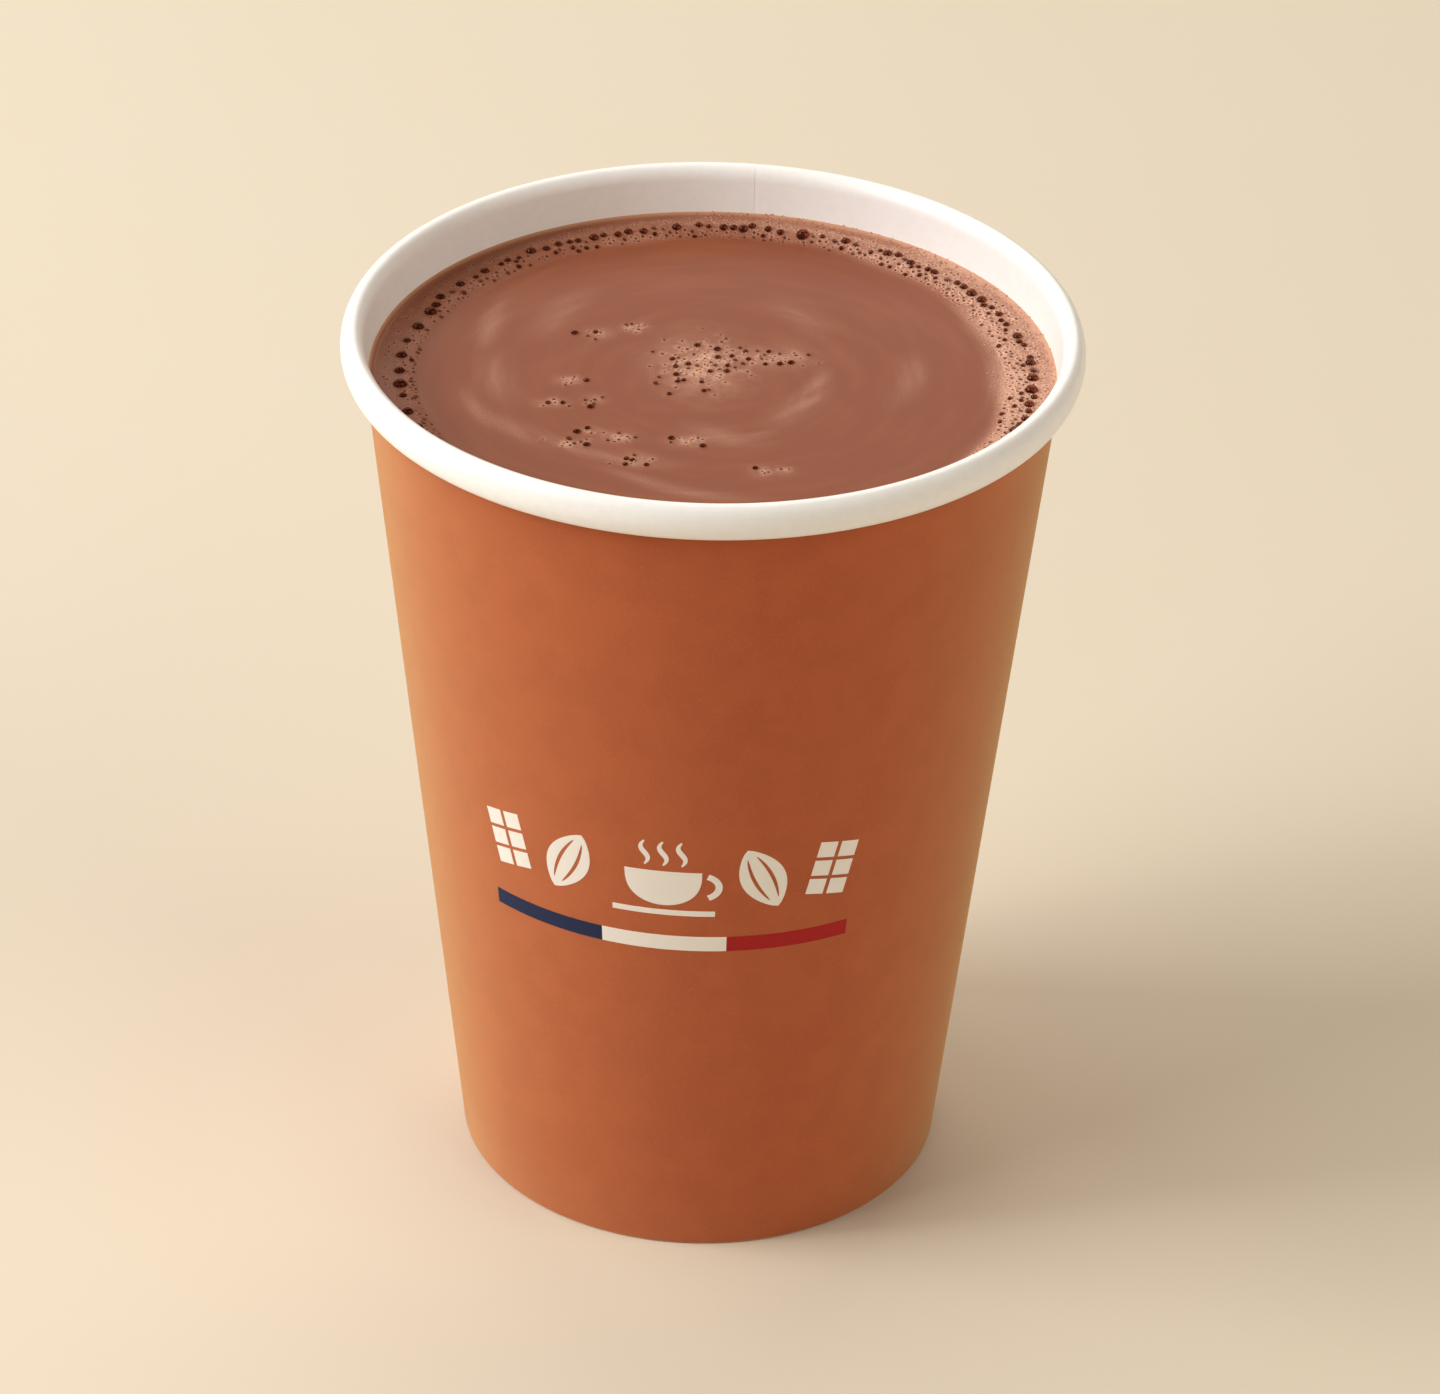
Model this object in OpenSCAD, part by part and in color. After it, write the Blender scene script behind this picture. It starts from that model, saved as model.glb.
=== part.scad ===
// Single-wall paper cup of hot chocolate.
// The wall is one printed sheet: lapped at the back, rolled outwards into the rim
// at the top, and folded up round the flange of the bottom disc at the foot.
// The origin is on the table under the cup's axis, +Z is up and -Y is the front.

/* [Cup] */
// Outside diameter of the rolled rim
rim_d = 90; // [74:0.5:108]
// Height from the table to the top of the rim
cup_h = 115; // [88:0.5:150]
// Outside diameter of the foot
foot_d = 61; // [50:0.5:74]
// Thickness of the wall's sheet
wall_t = 0.4; // [0.3:0.05:0.6]

/* [Rolled rim] */
// Width of the roll, from the cup's mouth to its outer edge
curl_w = 2.9; // [2.4:0.1:4]
// Height of the roll
curl_h = 4.6; // [3.6:0.1:6]

/* [Foot] */
// Height of the bottom disc's upper face above the table
recess_h = 9; // [6:0.5:14]
// Gap between the folded hem's edge and the bend of the bottom disc above it
hem_clear = 1; // [0.3:0.1:3]
// Thickness of the bottom disc's sheet
bottom_t = 0.35; // [0.25:0.05:0.5]
// Outer radius of the bend between the disc and its flange
bend_r = 1; // [0.6:0.1:1.6]

/* [Side seam] */
// Width of the lap, measured round the foot
lap_w = 7; // [4:0.5:10]
// Gap between the top of the lap and the rolled rim
lap_clear = 0.3; // [0.1:0.1:1]

/* [Drink] */
// Depth of the drink's middle below the top of the rim
headspace = 7; // [5.5:0.5:40]
// Width of the froth that rings the drink
froth_w = 6; // [3:0.5:9]
// Height of the froth above the drink's middle
froth_h = 0.5; // [0.2:0.1:1.5]
// Further height that the froth climbs at the wall
meniscus_h = 0.6; // [0.2:0.1:1.5]
// Width over which it climbs
meniscus_w = 0.9; // [0.4:0.1:2]

/* [Hidden] */
$fn = 128;

// Play between sheets that lie on each other
ply_gap = 0.04;
// How far the lap's band reaches into the sheet under it
lap_root = wall_t / 2;
// Steps of the roll, of a folded corner and of the drink's edge
curl_steps = 40;
corner_steps = 5;
edge_steps = 14;
// How strongly the drink's steps crowd towards the wall, where it bends most
edge_crowding = 1.6;
// Share of the froth's width over which it rises out of the drink
froth_slope = 1 / 3;
// Angles at which the roll may end, at its underside
curl_ends = [-170 : 1 : -60];

print_colour = "#B4643A";
white_colour = "#F2EEE8";
drink_colour = "#9C6450";

// The roll's section is an ellipse with these half axes and this centre.
curl_a = curl_w / 2;
curl_b = curl_h / 2;
curl_c = [rim_d / 2 - curl_a, cup_h - curl_b];

function mix(a, b, share) = a + (b - a) * share;
function smooth(x) = x * x * (3 - 2 * x);
function unit(angle) = [cos(angle), sin(angle)];

// A point of the roll, and the direction that its white side faces there.
function curl_point(angle) = curl_c + [curl_a * cos(angle), curl_b * sin(angle)];
function curl_facing(angle) = atan2(sin(angle) / curl_b, cos(angle) / curl_a);

// The wall's white side leaves the foot here and runs straight into the roll, as a
// tangent. With both axes scaled so that the roll is a unit circle, the tangent point
// is found from the foot's direction and distance.
wall_foot = [foot_d / 2 - wall_t, 0];
foot_seen = [(wall_foot[0] - curl_c[0]) / curl_a, (wall_foot[1] - curl_c[1]) / curl_b];
curl_start = atan2(foot_seen[1], foot_seen[0]) - acos(1 / norm(foot_seen)) + 360;
wall_top = curl_point(curl_start);
lean = atan2(wall_top[0] - wall_foot[0], wall_top[1] - wall_foot[1]);

// Radius of the wall at height z: its white side, or a parallel that far outside it.
function wall_r(z, out = 0) = wall_foot[0] + z * tan(lean) + out / cos(lean);

// The roll ends where it would meet the printed side of the wall again.
function curl_clear(angle) = curl_point(angle)[0] - wall_r(curl_point(angle)[1], wall_t);
curl_end = min([for (a = curl_ends) if (curl_clear(a) >= ply_gap) a]);

// The hem leaves room for the flange of the bottom disc between it and the wall, and
// ends under the disc's bend.
flange_room = bottom_t + 2 * ply_gap;
hem_h = recess_h - bend_r - hem_clear;
facing_in = 180 - lean;
facing_out = -lean;
wall_corner = [wall_r(wall_t), wall_t];
hem_corner = [wall_r(wall_t, -flange_room), wall_t];
hem_top = [wall_r(hem_h, -flange_room), hem_h];

// The printed side lies a sheet's thickness behind the white side.
function behind(point, facing, t = wall_t) = point - t * unit(facing);
hem_and_wall_white = [hem_top, hem_corner, wall_corner, wall_top];
hem_and_wall_print = concat(
    [behind(hem_top, facing_out)],
    [for (i = [0 : corner_steps])
        behind(hem_corner, mix(facing_out, 90, i / corner_steps))],
    [for (i = [0 : corner_steps])
        behind(wall_corner, mix(90, facing_in, i / corner_steps))],
    [behind(wall_top, facing_in)]
);
curl_angles = [for (i = [0 : curl_steps]) mix(curl_start, curl_end, i / curl_steps)];

function reversed(list) = [for (i = [len(list) - 1 : -1 : 0]) list[i]];

// The straight sheet with its folded hem, printed side out.
module sheet_section() {
    polygon(concat(hem_and_wall_white, reversed(hem_and_wall_print)));
}

// The rolled rim, which turns the sheet's white side out.
module curl_section() {
    white = [for (a = curl_angles) curl_point(a)];
    print = [for (a = curl_angles) behind(curl_point(a), curl_facing(a))];
    polygon(concat(white, reversed(print)));
}

// The lap's outer sheet, from the rounded fold at the foot to just under the roll.
module lap_section() {
    low = 2 * wall_t;
    high = cup_h - curl_h - lap_clear;
    polygon([
        [wall_r(low, wall_t - lap_root), low],
        [wall_r(low, 2 * wall_t), low],
        [wall_r(high, 2 * wall_t), high],
        [wall_r(high, wall_t - lap_root), high]
    ]);
}

module cup_wall() {
    lap_angle = lap_w / (PI * foot_d) * 360;
    color(print_colour) {
        rotate_extrude() sheet_section();
        rotate([0, 0, 90 - lap_angle / 2])
            rotate_extrude(angle = lap_angle) lap_section();
    }
    color(white_colour) rotate_extrude() curl_section();
}

// The bottom disc's bend: its centre, and the arc from the disc down to the flange.
bend_c = [wall_r(recess_h - bend_r, -ply_gap - bend_r), recess_h - bend_r];
bend_angles = [for (i = [0 : corner_steps]) mix(90, facing_out, i / corner_steps)];
function bend_arc(r) = [for (a = bend_angles) bend_c + r * unit(a)];

module cup_bottom() {
    low = wall_t + ply_gap;
    flange_out = [wall_r(low, -ply_gap), low];
    flange_in = [wall_r(low, -ply_gap - bottom_t), low];
    color(white_colour)
        rotate_extrude()
            polygon(concat(
                [[0, recess_h]], bend_arc(bend_r), [flange_out, flange_in],
                reversed(bend_arc(bend_r - bottom_t)), [[0, recess_h - bottom_t]]
            ));
}

// The drink is flat out to the froth, which rises in a slope, runs level and climbs
// the wall in a parabola. wet_r is the radius at which it meets the wall.
level = cup_h - headspace;
wet_r = wall_r(level + froth_h + meniscus_h);
function surface_z(r) =
    let (
        from_wall = wet_r - r,
        slope = min(1, max(0, (1 - from_wall / froth_w) / froth_slope)),
        climb = max(0, 1 - from_wall / meniscus_w)
    )
    level + froth_h * smooth(slope) + meniscus_h * climb * climb;

module hot_chocolate() {
    edge_r = [for (i = [0 : edge_steps])
        wet_r - froth_w * pow(1 - i / edge_steps, edge_crowding)];
    bend_end = bend_c + bend_r * unit(facing_out);
    color(drink_colour)
        rotate_extrude()
            polygon(concat(
                [[0, recess_h]], bend_arc(bend_r), [[wall_r(bend_end[1]), bend_end[1]]],
                [for (r = reversed(edge_r)) [r, surface_z(r)]], [[0, level]]
            ));
}

cup_wall();
cup_bottom();
hot_chocolate();
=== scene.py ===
"""The looks of a paper cup of hot chocolate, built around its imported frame.

Lengths in the classes are in millimetres, and build methods turn them into metres.
The frame stands on its origin, +Z is up and -Y is the front.
"""

import logging
import math
from dataclasses import dataclass, field
from enum import Enum
from typing import Any, Optional, Sequence, Union

import bpy
import numpy as np
from mathutils import Matrix, Vector
from mathutils.geometry import delaunay_2d_cdt

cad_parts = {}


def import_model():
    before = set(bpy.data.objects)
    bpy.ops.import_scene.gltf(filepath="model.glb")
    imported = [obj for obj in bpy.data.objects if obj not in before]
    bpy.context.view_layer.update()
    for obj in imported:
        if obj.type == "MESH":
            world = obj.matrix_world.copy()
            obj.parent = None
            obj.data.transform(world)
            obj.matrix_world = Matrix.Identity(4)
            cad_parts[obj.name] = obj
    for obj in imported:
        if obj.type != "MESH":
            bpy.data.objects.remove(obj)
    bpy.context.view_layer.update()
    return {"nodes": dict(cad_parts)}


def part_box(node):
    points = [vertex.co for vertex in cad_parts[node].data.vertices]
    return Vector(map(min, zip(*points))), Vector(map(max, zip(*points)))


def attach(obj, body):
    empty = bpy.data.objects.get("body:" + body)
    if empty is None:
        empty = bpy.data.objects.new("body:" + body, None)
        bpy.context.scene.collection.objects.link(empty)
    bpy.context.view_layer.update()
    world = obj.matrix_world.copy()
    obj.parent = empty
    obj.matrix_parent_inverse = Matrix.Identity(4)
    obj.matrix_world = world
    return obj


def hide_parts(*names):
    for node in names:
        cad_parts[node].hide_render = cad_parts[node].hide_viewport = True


LOG = logging.getLogger("hot_chocolate")
MM = 0.001

Colour = tuple[float, float, float, float]
Socket = bpy.types.NodeSocket
Tree = bpy.types.NodeTree


# ---------------------------------------------------------------- small helpers


def linear(code: str) -> Colour:
    """Turn an sRGB colour into the linear colour that a shader takes.

    Args:
        code: The colour as "#RRGGBB".

    Returns:
        The linear red, green and blue, and an alpha of 1.
    """
    shares = [int(code[i:i + 2], 16) / 255 for i in (1, 3, 5)]
    red, green, blue = (
        c / 12.92 if c <= 0.04045 else ((c + 0.055) / 1.055) ** 2.4 for c in shares
    )
    return red, green, blue, 1.0


def smooth(x: np.ndarray) -> np.ndarray:
    """Ease from 0 to 1 as x goes from 0 to 1."""
    x = np.clip(x, 0.0, 1.0)
    return x * x * (3 - 2 * x)


def unit(angle: float) -> np.ndarray:
    """Give the direction at an angle in radians."""
    return np.array([math.cos(angle), math.sin(angle)])


def circle(count: int, row: int = 0) -> np.ndarray:
    """Give count points round a unit circle, half a step on in odd rows."""
    turns = (np.arange(count) + 0.5 * (row % 2)) * 2 * math.pi / count
    return np.column_stack([np.cos(turns), np.sin(turns)])


def add_node(
    tree: Tree,
    kind: str,
    inputs: Optional[dict[Union[str, int], Any]] = None,
    **settings: Any,
) -> bpy.types.Node:
    """Add one node with its settings and links.

    Args:
        tree: The shader or geometry tree that the node goes in.
        kind: Blender's name for the node's type.
        inputs: What each input takes, by its name or number: a socket or a value.
        **settings: The node's own properties.

    Returns:
        The new node.
    """
    node = tree.nodes.new(kind)
    for name, value in settings.items():
        setattr(node, name, value)
    for key, value in (inputs or {}).items():
        if isinstance(value, Socket):
            tree.links.new(value, node.inputs[key])
        else:
            node.inputs[key].default_value = value
    return node


def calc(tree: Tree, operation: str, *values: Any) -> Socket:
    """Add a maths node on numbers or sockets and give its result.

    Args:
        tree: The shader or geometry tree.
        operation: Blender's name for the operation.
        *values: The operands, in order.

    Returns:
        The socket that holds the result.
    """
    node = add_node(tree, "ShaderNodeMath", dict(enumerate(values)), operation=operation)
    return node.outputs[0]


def ramp(tree: Tree, value: Socket, low: Any, high: Any, to: tuple[float, float]) -> Socket:
    """Map a value from a range to another, eased at both ends and held beyond them.

    Args:
        tree: The shader or geometry tree.
        value: The socket to map.
        low: The value, or socket, that gives the first of the new range.
        high: The value, or socket, that gives the last of the new range.
        to: The new range.

    Returns:
        The socket that holds the mapped value.
    """
    inputs = {"Value": value, "From Min": low, "From Max": high, "To Min": to[0], "To Max": to[1]}
    node = add_node(tree, "ShaderNodeMapRange", inputs, interpolation_type="SMOOTHSTEP")
    return node.outputs["Result"]


def new_mesh(
    name: str,
    points: np.ndarray,
    faces: Sequence[Sequence[int]] = (),
    edges: Sequence[Sequence[int]] = (),
) -> bpy.types.Mesh:
    """Make a mesh from points in metres.

    Args:
        name: The mesh's name.
        points: An array of N by 3.
        faces: The points of each face, anticlockwise seen from outside.
        edges: The ends of each loose edge.

    Returns:
        The mesh.
    """
    mesh = bpy.data.meshes.new(name)
    mesh.from_pydata([tuple(map(float, p)) for p in points], edges, faces)
    mesh.validate()
    return mesh


def store(mesh: bpy.types.Mesh, name: str, values: np.ndarray) -> None:
    """Keep one number or one vector for each point of a mesh, as a named attribute."""
    values = np.asarray(values, np.float32)
    vectors = values.ndim == 2
    layer = mesh.attributes.new(name, "FLOAT_VECTOR" if vectors else "FLOAT", "POINT")
    layer.data.foreach_set("vector" if vectors else "value", values.ravel())


def link_object(name: str, mesh: bpy.types.Mesh) -> bpy.types.Object:
    """Put a mesh in the scene as an object at the origin."""
    piece = bpy.data.objects.new(name, mesh)
    bpy.context.scene.collection.objects.link(piece)
    return piece


def hand_over(
    piece: bpy.types.Object,
    replaces: Sequence[str] = (),
    body: str = "root",
) -> bpy.types.Object:
    """Tell the frame what a finished piece rides on and stands for, and report it.

    Args:
        piece: The finished piece, at the origin.
        replaces: The CAD nodes that the piece stands for.
        body: The CAD body that it rides on.

    Returns:
        The piece.
    """
    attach(piece, body)
    if replaces:
        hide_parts(*replaces)
    triangles = sum(len(p.vertices) - 2 for p in piece.data.polygons)
    LOG.info("%s: %d triangles", piece.name, triangles)
    return piece


class ShapeTree:
    """A Geometry Nodes tree with named inputs, run once on a mesh."""

    def __init__(self, name: str, **inputs: Any) -> None:
        """Start the tree.

        Args:
            name: The tree's name.
            **inputs: The named inputs and their values: whole numbers, other numbers
                or materials. An underscore stands for a space.
        """
        self.tree = bpy.data.node_groups.new(name, "GeometryNodeTree")
        self.values: dict[str, Any] = {}
        kinds = {int: "NodeSocketInt", float: "NodeSocketFloat"}
        face = self.tree.interface
        face.new_socket("Geometry", in_out="INPUT", socket_type="NodeSocketGeometry")
        face.new_socket("Geometry", in_out="OUTPUT", socket_type="NodeSocketGeometry")
        for key, value in inputs.items():
            value = value.item() if isinstance(value, np.generic) else value
            label = key.replace("_", " ").capitalize()
            kind = kinds.get(type(value), "NodeSocketMaterial")
            socket = face.new_socket(label, in_out="INPUT", socket_type=kind)
            self.values[socket.identifier] = value
        self.source = self.add("NodeGroupInput")

    def add(self, kind: str, inputs: Optional[dict] = None, **settings: Any) -> bpy.types.Node:
        """Add one node to this tree."""
        return add_node(self.tree, kind, inputs, **settings)

    def given(self, label: str) -> Socket:
        """Give the socket of a named input."""
        return self.source.outputs[label]

    def attribute(self, name: str, kind: str = "FLOAT") -> Socket:
        """Give the socket that reads a named attribute."""
        node = self.add("GeometryNodeInputNamedAttribute", {"Name": name}, data_type=kind)
        return node.outputs["Attribute"]

    def calc(self, operation: str, *values: Any) -> Socket:
        """Add a maths node to this tree and give its result."""
        return calc(self.tree, operation, *values)

    def coat(self, geometry: Socket, label: str, where: Any = True) -> Socket:
        """Make a geometry real, and give it a named input's material where asked."""
        real = self.add("GeometryNodeRealizeInstances", {"Geometry": geometry})
        inputs = {
            "Geometry": real.outputs["Geometry"],
            "Selection": where,
            "Material": self.given(label),
        }
        return self.add("GeometryNodeSetMaterial", inputs).outputs["Geometry"]

    def run(self, name: str, mesh: bpy.types.Mesh, result: Socket) -> bpy.types.Object:
        """Run the tree on a mesh and keep what comes out as a plain object.

        Args:
            name: The new object's name.
            mesh: What the tree starts from.
            result: The socket that holds the coated geometry.

        Returns:
            The object, at the origin and with no modifier.
        """
        self.add("NodeGroupOutput", {"Geometry": result})
        carrier = link_object(name + "_source", mesh)
        modifier = carrier.modifiers.new("shape", "NODES")
        modifier.node_group = self.tree
        for identifier, value in self.values.items():
            modifier[identifier] = value
        graph = bpy.context.evaluated_depsgraph_get()
        made = bpy.data.meshes.new_from_object(carrier.evaluated_get(graph))
        carrier.modifiers.remove(modifier)
        bpy.data.objects.remove(carrier)
        made.name = name
        return link_object(name, made)


# ---------------------------------------------------------------- finishes


class Grain(Enum):
    """How finely a surface's unevenness breaks up, as octaves of noise."""

    MICROFOAM = 2.0
    FIBRE = 4.0
    FILM = 5.0


@dataclass(frozen=True)
class Finish:
    """What every finish has: a name, a Principled shader and fine relief."""

    name: str
    colour: str
    roughness: float
    ior: float
    grain_mm: float
    relief_mm: float

    def start(self) -> tuple[bpy.types.Material, Tree, bpy.types.Node, Socket]:
        """Make the material with its shader and its object coordinates.

        Returns:
            The material, its tree, its Principled shader and the coordinates.
        """
        material = bpy.data.materials.new(self.name)
        material.use_nodes = True
        tree = material.node_tree
        tree.nodes.clear()
        shader = add_node(
            tree,
            "ShaderNodeBsdfPrincipled",
            {"Base Color": linear(self.colour), "Roughness": self.roughness, "IOR": self.ior},
        )
        add_node(tree, "ShaderNodeOutputMaterial", {"Surface": shader.outputs["BSDF"]})
        place = add_node(tree, "ShaderNodeTexCoord").outputs["Object"]
        return material, tree, shader, place

    def noise(self, tree: Tree, place: Socket, size_mm: float, grain: Grain) -> Socket:
        """Add noise whose lumps are about size_mm across, and give its 0 to 1 value."""
        inputs = {"Vector": place, "Scale": 1 / (size_mm * MM), "Detail": grain.value}
        return add_node(tree, "ShaderNodeTexNoise", inputs).outputs["Fac"]

    def relieve(self, tree: Tree, shader: bpy.types.Node, height: Socket) -> None:
        """Raise and lower the surface by up to relief_mm with a 0 to 1 height."""
        inputs = {"Height": height, "Distance": self.relief_mm * MM, "Strength": 1.0}
        bump = add_node(tree, "ShaderNodeBump", inputs)
        tree.links.new(bump.outputs["Normal"], shader.inputs["Normal"])

    def blend(self, tree: Tree, share: Any, first: Any, second: Any) -> Socket:
        """Mix two colours, sockets or linear values, by a share."""
        inputs = {"Factor": share, "A": first, "B": second}
        node = tree.nodes.new("ShaderNodeMix")
        node.data_type = "RGBA"
        for key, value in inputs.items():
            socket = next(s for s in node.inputs if s.name == key and s.enabled)
            if isinstance(value, Socket):
                tree.links.new(value, socket)
            else:
                socket.default_value = value
        return next(s for s in node.outputs if s.enabled)


@dataclass(frozen=True)
class PrintedBoard(Finish):
    """Flexo ink on uncoated cup board: matt, softly clouded, with the fibres showing."""

    name: str = "flexo_ink_on_uncoated_board"
    colour: str = "#AE4B23"
    cloud_colour: str = "#A84620"
    speck_colour: str = "#B8562D"
    roughness: float = 0.6
    ior: float = 1.5
    grain_mm: float = 0.3  # the board's fibres are finer; drawn this wide, they show
    relief_mm: float = 0.012
    cloud_mm: float = 5.0
    gloss: float = 0.21
    fuzz: float = 0.84
    fuzz_spread: float = 0.5
    fuzz_colour: str = "#FFDFA2"

    def make(self) -> bpy.types.Material:
        """Build the material: ink clouds, lighter fibre specks and a felt-like relief."""
        material, tree, shader, place = self.start()
        shader.inputs["Specular IOR Level"].default_value = self.gloss
        shader.inputs["Sheen Weight"].default_value = self.fuzz
        shader.inputs["Sheen Roughness"].default_value = self.fuzz_spread
        shader.inputs["Sheen Tint"].default_value = linear(self.fuzz_colour)
        clouds = ramp(tree, self.noise(tree, place, self.cloud_mm, Grain.FIBRE), 0.35, 0.65, (0, 1))
        base = self.blend(tree, clouds, linear(self.colour), linear(self.cloud_colour))
        grain = self.noise(tree, place, self.grain_mm, Grain.FIBRE)
        specks = ramp(tree, grain, 0.5, 0.75, (0, 0.7))
        base = self.blend(tree, specks, base, linear(self.speck_colour))
        tree.links.new(base, shader.inputs["Base Color"])
        rough = ramp(tree, grain, 0.3, 0.7, (self.roughness - 0.06, self.roughness + 0.06))
        tree.links.new(rough, shader.inputs["Roughness"])
        self.relieve(tree, shader, grain)
        return material


@dataclass(frozen=True)
class LinedBoard(Finish):
    """White cup board under a thin melted polyethylene film: smooth, with a soft gloss."""

    name: str = "polyethylene_lined_white_board"
    colour: str = "#F6F2EE"
    shade_colour: str = "#F3EFEA"
    roughness: float = 0.36
    ior: float = 1.51
    grain_mm: float = 1.2
    relief_mm: float = 0.005

    def make(self) -> bpy.types.Material:
        """Build the material: faint clouds of the board's pulp and the film's waviness."""
        material, tree, shader, place = self.start()
        pulp = self.noise(tree, place, self.grain_mm, Grain.FILM)
        shade = ramp(tree, pulp, 0.35, 0.7, (0, 1))
        base = self.blend(tree, shade, linear(self.colour), linear(self.shade_colour))
        tree.links.new(base, shader.inputs["Base Color"])
        rough = ramp(tree, pulp, 0.3, 0.7, (self.roughness - 0.05, self.roughness + 0.05))
        tree.links.new(rough, shader.inputs["Roughness"])
        self.relieve(tree, shader, pulp)
        return material


@dataclass(frozen=True)
class Ink(Finish):
    """A dense flexo ink film: flat colour, a little smoother than the board round it."""

    name: str = "flexo_ink_film"
    colour: str = "#F0E9E0"
    roughness: float = 0.45
    ior: float = 1.48
    grain_mm: float = 0.3  # the board's fibres are finer; drawn this wide, they show
    relief_mm: float = 0.01
    mottle: float = 0.12
    mottle_colour: str = "#E2D8CC"
    gloss: float = 0.15

    def make(self) -> bpy.types.Material:
        """Build the material: ink that covers slightly unevenly over the fibres."""
        material, tree, shader, place = self.start()
        shader.inputs["Specular IOR Level"].default_value = self.gloss
        grain = self.noise(tree, place, self.grain_mm, Grain.FIBRE)
        thin = ramp(tree, grain, 0.45, 0.8, (0, self.mottle))
        base = self.blend(tree, thin, linear(self.colour), linear(self.mottle_colour))
        tree.links.new(base, shader.inputs["Base Color"])
        self.relieve(tree, shader, grain)
        return material


@dataclass(frozen=True)
class MilkChocolate(Finish):
    """Whipped milk chocolate drink: opaque and wet, paler where froth stands on it."""

    name: str = "whipped_milk_chocolate_drink"
    colour: str = "#834327"
    froth_colour: str = "#CA9A82"
    # painted shade: the bubble holes darken to this colour, darker than the drink itself, standing
    # in for the shade inside them
    pit_shade_colour: str = "#5E3424"
    streak_colour: str = "#8F4F30"
    edge_colour: str = "#CF9A78"
    # painted highlight: the pale ring on the bubbles' raised lips
    lip_highlight_colour: str = "#D8A68C"
    gloss: float = 0.2
    roughness: float = 0.32
    ior: float = 1.36
    grain_mm: float = 0.22  # real microfoam is finer and wouldn't show
    relief_mm: float = 0.015
    streak_mm: float = 2.0
    streak_turns: float = 2.4

    def streaks(self, tree: Tree, place: Socket) -> Socket:
        """Draw the swirl that stirring leaves: noise drawn out along circles.

        Args:
            tree: The material's tree.
            place: The object coordinates.

        Returns:
            A 0 to 1 value.
        """
        parts = add_node(tree, "ShaderNodeSeparateXYZ", {"Vector": place}).outputs
        across = add_node(
            tree, "ShaderNodeCombineXYZ", {"X": parts["X"], "Y": parts["Y"], "Z": 0.0}
        ).outputs["Vector"]
        radius = add_node(
            tree, "ShaderNodeVectorMath", {0: across}, operation="LENGTH"
        ).outputs["Value"]
        way = add_node(tree, "ShaderNodeVectorMath", {0: across}, operation="NORMALIZE")
        turned = add_node(
            tree,
            "ShaderNodeVectorMath",
            {0: way.outputs["Vector"], "Scale": self.streak_turns},
            operation="SCALE",
        ).outputs["Vector"]
        ring = add_node(
            tree,
            "ShaderNodeCombineXYZ",
            {"Z": calc(tree, "DIVIDE", radius, self.streak_mm * MM)},
        ).outputs["Vector"]
        path = add_node(tree, "ShaderNodeVectorMath", {0: turned, 1: ring}, operation="ADD")
        inputs = {"Vector": path.outputs["Vector"], "Scale": 1.0, "Detail": 4.0}
        return add_node(tree, "ShaderNodeTexNoise", inputs).outputs["Fac"]

    def make(self) -> bpy.types.Material:
        """Build the material from the surface's attributes: froth, the holes' painted shade, the
        lips' painted highlight and the edge.
        """
        material, tree, shader, place = self.start()
        shader.inputs["Specular IOR Level"].default_value = self.gloss
        froth, pit_shade, edge, lip = (
            add_node(tree, "ShaderNodeAttribute", attribute_name=name).outputs["Fac"]
            for name in ("froth", "pit_shade", "edge", "lip")
        )
        swirl = self.streaks(tree, place)
        streak = ramp(tree, swirl, 0.4, 0.8, (0, 0.55))
        base = self.blend(tree, streak, linear(self.colour), linear(self.streak_colour))
        grain = self.noise(tree, place, self.grain_mm, Grain.MICROFOAM)
        lather = calc(tree, "MULTIPLY", froth, ramp(tree, grain, 0.3, 0.7, (0.55, 1.25)))
        lather = calc(tree, "MULTIPLY", lather, ramp(tree, swirl, 0.3, 0.7, (0.65, 1.25)))
        base = self.blend(tree, lather, base, linear(self.froth_colour))
        # painted highlight on the bubbles' lips, strongest in the froth
        shine = calc(tree, "MULTIPLY", lip, calc(tree, "ADD", froth, 0.06))
        base = self.blend(tree, shine, base, linear(self.lip_highlight_colour))
        base = self.blend(tree, edge, base, linear(self.edge_colour))
        # painted shade in the bubble holes, strongest at their bottoms
        base = self.blend(tree, pit_shade, base, linear(self.pit_shade_colour))
        tree.links.new(base, shader.inputs["Base Color"])
        self.relieve(tree, shader, calc(tree, "MULTIPLY", grain, calc(tree, "ADD", froth, 0.25)))
        return material


@dataclass(frozen=True)
class BubbleFilm(Finish):
    """The thin wet skin of a bubble: brown and see-through, with a small sharp gloss."""

    name: str = "wet_bubble_film"
    colour: str = "#FFF4EA"
    tint: str = "#DDBBA8"
    roughness: float = 0.08
    ior: float = 1.33
    grain_mm: float = 0.0
    relief_mm: float = 0.0
    gloss: float = 0.6

    def make(self) -> bpy.types.Material:
        """Build the material: clear, with a Fresnel gloss on top."""
        material, tree, shader, _ = self.start()
        tree.nodes.remove(shader)
        clear = add_node(
            tree, "ShaderNodeBsdfTransparent", {"Color": linear(self.tint)}
        ).outputs["BSDF"]
        shine = add_node(
            tree,
            "ShaderNodeBsdfGlossy",
            {"Color": linear(self.colour), "Roughness": self.roughness},
        ).outputs["BSDF"]
        edge = add_node(tree, "ShaderNodeFresnel", {"IOR": self.ior}).outputs["Fac"]
        share = calc(tree, "MULTIPLY", edge, self.gloss)
        mixed = add_node(tree, "ShaderNodeMixShader", {"Fac": share, 1: clear, 2: shine})
        end = next(n for n in tree.nodes if n.type == "OUTPUT_MATERIAL")
        tree.links.new(mixed.outputs["Shader"], end.inputs["Surface"])
        return material


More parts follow.
